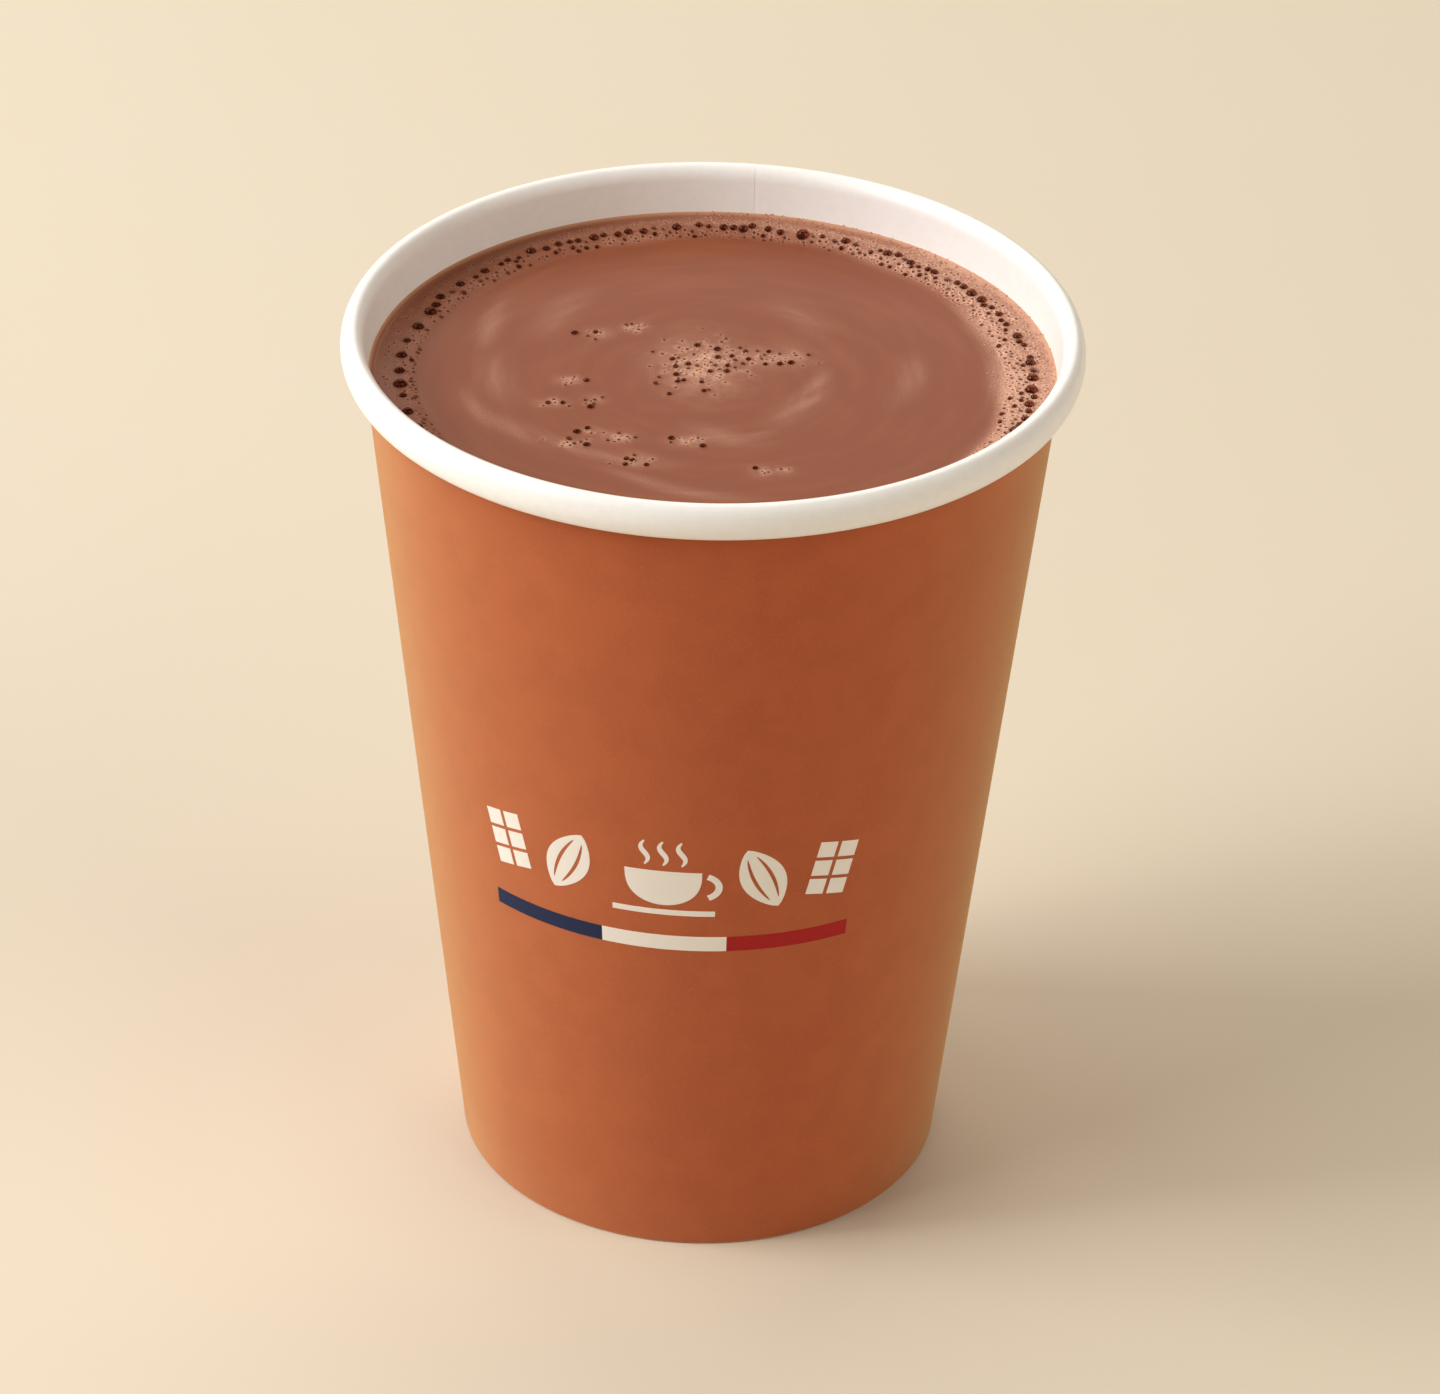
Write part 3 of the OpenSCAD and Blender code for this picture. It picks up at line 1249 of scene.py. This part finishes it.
@dataclass
class FrothBeads:
    """The finest froth: closed beads too small to be blown as open bubbles."""

    count_per_mm2: float = 2.2
    least_r: float = 0.06
    most_r: float = 0.17
    froth_from: float = 0.3
    seed: int = 5
    finish: MilkFroth = field(default_factory=MilkFroth)

    def build(self, drink: bpy.types.Object) -> bpy.types.Object:
        """Sow the beads over the froth.

        Args:
            drink: The finished drink.

        Returns:
            The beads as one piece.
        """
        tree = ShapeTree(
            "sow_froth_beads",
            per_square_metre=self.count_per_mm2 / MM**2,
            least_radius=self.least_r * MM,
            most_radius=self.most_r * MM,
            froth_from=self.froth_from,
            seed=self.seed,
            finish=self.finish.make(),
        )
        calc_ = tree.calc
        froth = calc_("GREATER_THAN", tree.attribute("froth"), tree.given("Froth from"))
        flat = calc_("LESS_THAN", tree.attribute("pit_shade"), 0.05)
        density = calc_("MULTIPLY", calc_("MULTIPLY", froth, flat), tree.given("Per square metre"))
        sown = tree.add(
            "GeometryNodeDistributePointsOnFaces",
            {"Mesh": tree.given("Geometry"), "Density": density, "Seed": tree.given("Seed")},
        )
        radius = tree.add(
            "FunctionNodeRandomValue",
            {
                2: tree.given("Least radius"),
                3: tree.given("Most radius"),
                "Seed": tree.given("Seed"),
            },
            data_type="FLOAT",
        ).outputs[1]
        bead = tree.add("GeometryNodeMeshIcoSphere", {"Radius": 1.0, "Subdivisions": 1})
        round_ = tree.add(
            "GeometryNodeSetShadeSmooth", {"Geometry": bead.outputs["Mesh"]}
        ).outputs["Geometry"]
        placed = tree.add(
            "GeometryNodeInstanceOnPoints",
            {
                "Points": sown.outputs["Points"],
                "Instance": round_,
                "Rotation": sown.outputs["Rotation"],
                "Scale": radius,
            },
        )
        painted = tree.coat(placed.outputs["Instances"], "Finish")
        piece = tree.run("froth_beads", drink.data.copy(), painted)
        return hand_over(piece)


@dataclass
class BubbleSkins:
    """The films that still close the larger bubbles: balls sunk half into their pits."""

    least_r: float = 0.3
    closed_share: float = 0.8
    bulge: float = 0.9
    seed: int = 3
    finish: BubbleFilm = field(default_factory=BubbleFilm)

    def build(self, drink: Drink) -> bpy.types.Object:
        """Close some of the drink's larger bubbles with a film.

        Args:
            drink: The drink, whose bubbles are placed.

        Returns:
            The films as one piece.
        """
        draw = np.random.default_rng(self.seed)
        large = drink.bubbles.radii > self.least_r
        large &= draw.random(len(large)) < self.closed_share
        places = drink.bubbles.places[large]
        heights = drink.height(places) + 0.02
        points = new_mesh("bubble_places", np.column_stack([places, heights]) * MM)
        store(points, "radius", drink.bubbles.radii[large] * MM)
        tree = ShapeTree("close_bubbles", bulge=self.bulge, finish=self.finish.make())
        ball = tree.add(
            "GeometryNodeMeshUVSphere", {"Segments": 14, "Rings": 10, "Radius": 1.0}
        ).outputs["Mesh"]
        smooth_ball = tree.add("GeometryNodeSetShadeSmooth", {"Geometry": ball})
        radius = tree.attribute("radius")
        size = tree.add(
            "ShaderNodeCombineXYZ",
            {"X": radius, "Y": radius, "Z": tree.calc("MULTIPLY", radius, tree.given("Bulge"))},
        ).outputs["Vector"]
        placed = tree.add(
            "GeometryNodeInstanceOnPoints",
            {
                "Points": tree.given("Geometry"),
                "Instance": smooth_ball.outputs["Geometry"],
                "Scale": size,
            },
        )
        painted = tree.coat(placed.outputs["Instances"], "Finish")
        piece = tree.run("bubble_films", points, painted)
        return hand_over(piece)


# ---------------------------------------------------------------- the print


@dataclass
class PrintPress:
    """Lays flat shapes on the cup's cone as thin films of ink.

    A shape is drawn flat, in millimetres: x runs along the cup's middle from the print's
    centre, to the right seen from the front, and y is the height over the table.
    """

    shape: SheetShape
    centre_deg: float = -7.5
    middle_z: float = 49.0
    film_t: float = 0.03
    sunk: float = 0.02
    cuts: int = 3

    def lay(self, name: str, outlines: Sequence[np.ndarray], finish: Ink) -> bpy.types.Object:
        """Print one colour.

        Args:
            name: The piece's name.
            outlines: Closed outlines, N by 2 each; one within another is a hole.
            finish: The ink.

        Returns:
            The film of ink as one closed piece.
        """
        points = np.vstack(outlines)
        starts = np.cumsum([0] + [len(o) for o in outlines])
        edges = [
            (start + i, start + (i + 1) % len(outline))
            for start, outline in zip(starts, outlines)
            for i in range(len(outline))
        ]
        flat = new_mesh(
            name + "_outline", np.column_stack([points, np.zeros(len(points))]) * MM, edges=edges
        )
        shape = self.shape
        out = shape.sheet_t - self.sunk
        tree = ShapeTree(
            "lay_ink",
            foot_radius=shape.wall_r(0, out) * MM,
            spread=math.tan(shape.lean),
            middle_radius=shape.wall_r(self.middle_z, out) * MM,
            centre=math.radians(self.centre_deg) - math.pi / 2,
            film=(self.sunk + self.film_t) * MM,
            cuts=self.cuts,
            ink=finish.make(),
        )
        piece = tree.run(name, flat, self.wrap(tree))
        shade_by_angle(piece.data, math.radians(40))
        return hand_over(piece)

    def wrap(self, tree: ShapeTree) -> Socket:
        """Fill the outlines, wrap them on the cone and give them their thickness.

        Args:
            tree: The tree to add to.

        Returns:
            The socket that holds the film.
        """
        calc_ = tree.calc
        lines = tree.add("GeometryNodeMeshToCurve", {"Mesh": tree.given("Geometry")})
        filled = tree.add(
            "GeometryNodeFillCurve", {"Curve": lines.outputs["Curve"]}
        ).outputs["Mesh"]
        fine = tree.add(
            "GeometryNodeSubdivideMesh", {"Mesh": filled, "Level": tree.given("Cuts")}
        ).outputs["Mesh"]
        where = tree.add("GeometryNodeInputPosition").outputs["Position"]
        flat = tree.add("ShaderNodeSeparateXYZ", {"Vector": where}).outputs
        turn = calc_("DIVIDE", flat["X"], tree.given("Middle radius"))
        turn = calc_("ADD", turn, tree.given("Centre"))
        radius = calc_("MULTIPLY", flat["Y"], tree.given("Spread"))
        radius = calc_("ADD", radius, tree.given("Foot radius"))
        spot = tree.add(
            "ShaderNodeCombineXYZ",
            {
                "X": calc_("MULTIPLY", radius, calc_("COSINE", turn)),
                "Y": calc_("MULTIPLY", radius, calc_("SINE", turn)),
                "Z": flat["Y"],
            },
        ).outputs["Vector"]
        bent = tree.add("GeometryNodeSetPosition", {"Geometry": fine, "Position": spot})
        base = bent.outputs["Geometry"]
        raised = tree.add(
            "GeometryNodeExtrudeMesh",
            {"Mesh": base, "Offset Scale": tree.given("Film"), "Individual": False},
            mode="FACES",
        ).outputs["Mesh"]
        under = tree.add("GeometryNodeFlipFaces", {"Mesh": base}).outputs["Mesh"]
        both = tree.add("GeometryNodeJoinGeometry")
        for part in (raised, under):
            tree.tree.links.new(part, both.inputs["Geometry"])
        closed = tree.add("GeometryNodeMergeByDistance", {"Geometry": both.outputs["Geometry"]})
        closed.inputs["Distance"].default_value = 1e-6
        return tree.coat(closed.outputs["Geometry"], "Ink")


@dataclass
class CupPrint:
    """The wall's print: a stripe of three fields under a row of small pictures."""

    press: PrintPress
    stripe_w: float = 46.0
    stripe_h: float = 2.2
    stripe_z: float = 48.0
    row_z: float = 59.0
    pod_x: float = 11.8
    pod_tilt: float = 0.42
    tablet_x: float = 20.3
    tablet_tilt: float = -0.2
    step: float = 1.0

    def bar(self, x0: float, x1: float, z0: float, z1: float) -> np.ndarray:
        """Draw a bar, with points close enough together to follow the cone."""
        along = np.linspace(x0, x1, max(2, math.ceil((x1 - x0) / self.step) + 1))
        lower = np.column_stack([along, np.full(len(along), z0)])
        upper = np.column_stack([along, np.full(len(along), z1)])
        return np.vstack([lower, upper[::-1]])

    def turned(self, flat: np.ndarray, x: float, z: float, tilt: float) -> np.ndarray:
        """Tilt an outline by an angle in radians and move it to its place."""
        return flat @ np.array([unit(tilt), unit(tilt + math.pi / 2)]) + (x, z)

    def spindle(self, half_w: float, half_h: float, share: float, slim: float) -> np.ndarray:
        """Draw a spindle, or a thin rib that follows it at a share of its width.

        Args:
            half_w: The spindle's half width.
            half_h: Its half height.
            share: The rib's place, from -1 to 1; the sides move apart from it by slim.
            slim: Half the width of what is drawn, as a share of half_w.

        Returns:
            The closed outline, upright round the origin.
        """
        trim = 0.0 if slim == 1 else 0.13
        rise = np.linspace(trim, 1 - trim, 25)
        belly = np.sin(rise * math.pi) ** 0.75
        taper = np.sin((rise - trim) / (1 - 2 * trim) * math.pi) ** 0.5
        z = half_h * (2 * rise - 1)
        right = half_w * (share * belly + slim * (belly if slim == 1 else taper))
        left = half_w * (share * belly - slim * (belly if slim == 1 else taper))
        inner = slice(1, -1)
        return np.vstack([
            np.column_stack([right, z]),
            np.column_stack([left, z])[::-1][inner],
        ])

    def pod(self, x: float, tilt: float) -> list[np.ndarray]:
        """Draw a cocoa pod: a spindle with two ribs cut out of it."""
        half_w, half_h, rib = 2.7, 4.9, 0.085
        whole = self.spindle(half_w, half_h, 0.0, 1.0)
        ribs = [self.spindle(half_w, half_h, share, rib) for share in (-0.4, 0.4)]
        return [self.turned(part, x, self.row_z, tilt) for part in (whole, *ribs)]

    def tablet(self, x: float, tilt: float) -> list[np.ndarray]:
        """Draw a piece of a chocolate tablet, two squares by three."""
        side, pitch = 2.25, 2.75
        parts = []
        for column in (-0.5, 0.5):
            for row in (-1, 0, 1):
                x0 = column * pitch - side / 2
                z0 = row * pitch - side / 2
                square = self.bar(x0, x0 + side, z0, z0 + side)
                parts.append(self.turned(square, x, self.row_z, tilt))
        return parts

    def ribbon(self, middle: np.ndarray, half: np.ndarray) -> np.ndarray:
        """Draw a stroke along a line, half as wide as twice half at each point."""
        run = np.gradient(middle, axis=0)
        run /= np.hypot(*run.T)[:, None]
        side = np.column_stack([-run[:, 1], run[:, 0]]) * half[:, None]
        return np.vstack([middle + side, (middle - side)[::-1]])

    def steaming_cup(self) -> list[np.ndarray]:
        """Draw a cup on a saucer with three wisps of steam, in separate parts."""
        half_w, deep, brim_z = 4.6, 5.2, self.row_z + 1.1
        turns = np.linspace(0, math.pi, 25)
        bowl = np.column_stack([half_w * np.cos(turns), brim_z - deep * np.sin(turns) ** 0.7])
        brim = np.linspace(-half_w, half_w, 11)[1:-1]
        bowl = np.vstack([bowl, np.column_stack([brim, np.full(len(brim), brim_z)])])
        turns = np.linspace(-1.15, 1.2, 21)
        centre = np.column_stack([4.5 + 2.1 * np.cos(turns), brim_z - 2.2 + 1.75 * np.sin(turns)])
        handle = self.ribbon(centre, np.full(len(turns), 0.42))
        saucer = self.bar(-6.2, 6.2, brim_z - 6.7, brim_z - 5.9)
        parts = [bowl, handle, saucer]
        rise = np.linspace(0, 1, 17)
        for x in (-2.2, 0.0, 2.2):
            sway = 0.42 * np.sin(rise * 2 * math.pi)
            line = np.column_stack([x + sway, brim_z + 0.9 + 3.6 * rise])
            parts.append(self.ribbon(line, 0.1 + 0.24 * np.sin(rise * math.pi)))
        return parts

    def build(self) -> None:
        """Print the three fields and the pictures."""
        ends = np.linspace(-self.stripe_w / 2, self.stripe_w / 2, 4)
        low, high = self.stripe_z, self.stripe_z + self.stripe_h
        inks = (
            ("print_navy_field", Ink("navy_flexo_ink", "#1F2A4A", mottle_colour="#303B58")),
            ("print_cream_field", Ink("cream_white_flexo_ink")),
            ("print_red_field", Ink("red_flexo_ink", "#A81E1E", mottle_colour="#B43226")),
        )
        for (name, ink), x0, x1 in zip(inks, ends, ends[1:]):
            self.press.lay(name, [self.bar(x0, x1, low, high)], ink)
        pictures = self.steaming_cup()
        for side in (-1, 1):
            pictures += self.pod(side * self.pod_x, side * self.pod_tilt)
            pictures += self.tablet(side * self.tablet_x, side * self.tablet_tilt)
        self.press.lay("print_pictures", pictures, Ink(name="cream_white_picture_ink"))


# ---------------------------------------------------------------- the studio


@dataclass(frozen=True)
class SoftBox:
    """A square soft box, placed by its direction from the cup's middle."""

    name: str
    azimuth_deg: float
    elevation_deg: float
    side_m: float
    watts: float
    colour: str
    distance_m: float = 1.4
    aim_z_m: float = 0.06

    def hang(self) -> None:
        """Hang the box and turn it to the cup."""
        data = bpy.data.lights.new(self.name, "AREA")
        data.shape = "SQUARE"
        data.size = self.side_m
        data.energy = self.watts
        data.color = linear(self.colour)[:3]
        lamp = bpy.data.objects.new(self.name, data)
        across = unit(math.radians(self.azimuth_deg))
        steep = unit(math.radians(self.elevation_deg))
        way = Vector((across[0] * steep[0], across[1] * steep[0], steep[1]))
        lamp.location = Vector((0, 0, self.aim_z_m)) + self.distance_m * way
        lamp.rotation_euler = (-way).to_track_quat("-Z", "Y").to_euler()
        bpy.context.scene.collection.objects.link(lamp)


@dataclass
class Studio:
    """A plain pale floor, soft light and the camera."""

    camera_y: float = -648.0
    camera_z: float = 461.0
    pitch_deg: float = 31.6
    yaw_deg: float = 0.15
    roll_deg: float = 1.2
    lens_mm: float = 152.0
    key_watts: float = 21.0
    fill_share: float = 0.4
    kicker_share: float = 0.15
    room: float = 0.13
    daylight: str = "#FFFFFF"
    warm_white: str = "#FFF8EC"
    room_colour: str = "#FFEEDA"
    floor_m: float = 6.0

    def camera(self) -> None:
        """Aim a long lens down at the cup from the front."""
        pitch, yaw, roll = (
            math.radians(a) for a in (self.pitch_deg, self.yaw_deg, self.roll_deg)
        )
        ahead = Vector((
            math.sin(yaw) * math.cos(pitch),
            math.cos(yaw) * math.cos(pitch),
            -math.sin(pitch),
        ))
        level = Vector((math.cos(yaw), -math.sin(yaw), 0))
        upward = level.cross(ahead)
        right = math.cos(roll) * level + math.sin(roll) * upward
        above = math.cos(roll) * upward - math.sin(roll) * level
        data = bpy.data.cameras.new("camera")
        data.lens = self.lens_mm
        data.sensor_width = 36
        data.clip_start = 0.01
        data.clip_end = 20
        camera = bpy.data.objects.new("camera", data)
        turned = Matrix((right, above, -ahead)).transposed().to_4x4()
        place = Vector((0, self.camera_y, self.camera_z)) * MM
        camera.matrix_world = Matrix.Translation(place) @ turned
        bpy.context.scene.collection.objects.link(camera)
        bpy.context.scene.camera = camera

    def floor(self) -> None:
        """Roll out the background paper under the cup."""
        half = self.floor_m / 2
        corners = np.array([(-half, -half, 0), (half, -half, 0), (half, half, 0), (-half, half, 0)])
        mesh = new_mesh("floor", corners, [(0, 1, 2, 3)])
        mesh.materials.append(StudioPaper().make())
        link_object("floor", mesh)

    def light(self) -> None:
        """Hang a key of three panels at the left, a kicker and two wide fills."""
        panel = self.key_watts / 3
        fill = self.key_watts * self.fill_share
        kicker = self.key_watts * self.kicker_share
        for box in (
            SoftBox("key_low", 185, 25, 0.6, panel, self.daylight),
            SoftBox("key_high", 185, 45, 0.6, panel, self.daylight),
            SoftBox("key_front", 205, 30, 0.6, panel, self.daylight),
            SoftBox("kicker", 150, 40, 0.6, kicker, self.daylight),
            SoftBox("fill_right", 330, 30, 1.2, fill, self.warm_white),
            SoftBox("fill_back", 90, 45, 1.2, fill, self.warm_white),
        ):
            box.hang()
        world = bpy.data.worlds.new("room")
        world.use_nodes = True
        back = world.node_tree.nodes["Background"]
        back.inputs["Color"].default_value = linear(self.room_colour)
        back.inputs["Strength"].default_value = self.room
        bpy.context.scene.world = world
        bpy.context.scene.view_settings.view_transform = "Standard"


def main() -> None:
    """Load the frame, dress the cup, fill it and light it."""
    logging.basicConfig(level=logging.INFO, format="%(name)s: %(message)s")
    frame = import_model()
    low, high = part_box("cup_wall")
    rim_r = (high.x - low.x) / 2 / MM
    wall = CupWall(rim_r=rim_r, cup_h=high.z / MM)
    wall.build()
    CupBottom().dress(frame["nodes"]["cup_bottom"])
    drink_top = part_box("hot_chocolate")[1].z / MM
    disc_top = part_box("cup_bottom")[1].z / MM
    drink = Drink(top_z=drink_top, disc_z=disc_top, shape=wall.shape)
    surface = drink.build()
    FrothBeads().build(surface)
    BubbleSkins().build(drink)
    CupPrint(PrintPress(wall.shape)).build()
    studio = Studio()
    studio.floor()
    studio.light()
    studio.camera()


if __name__ == "__main__":
    main()
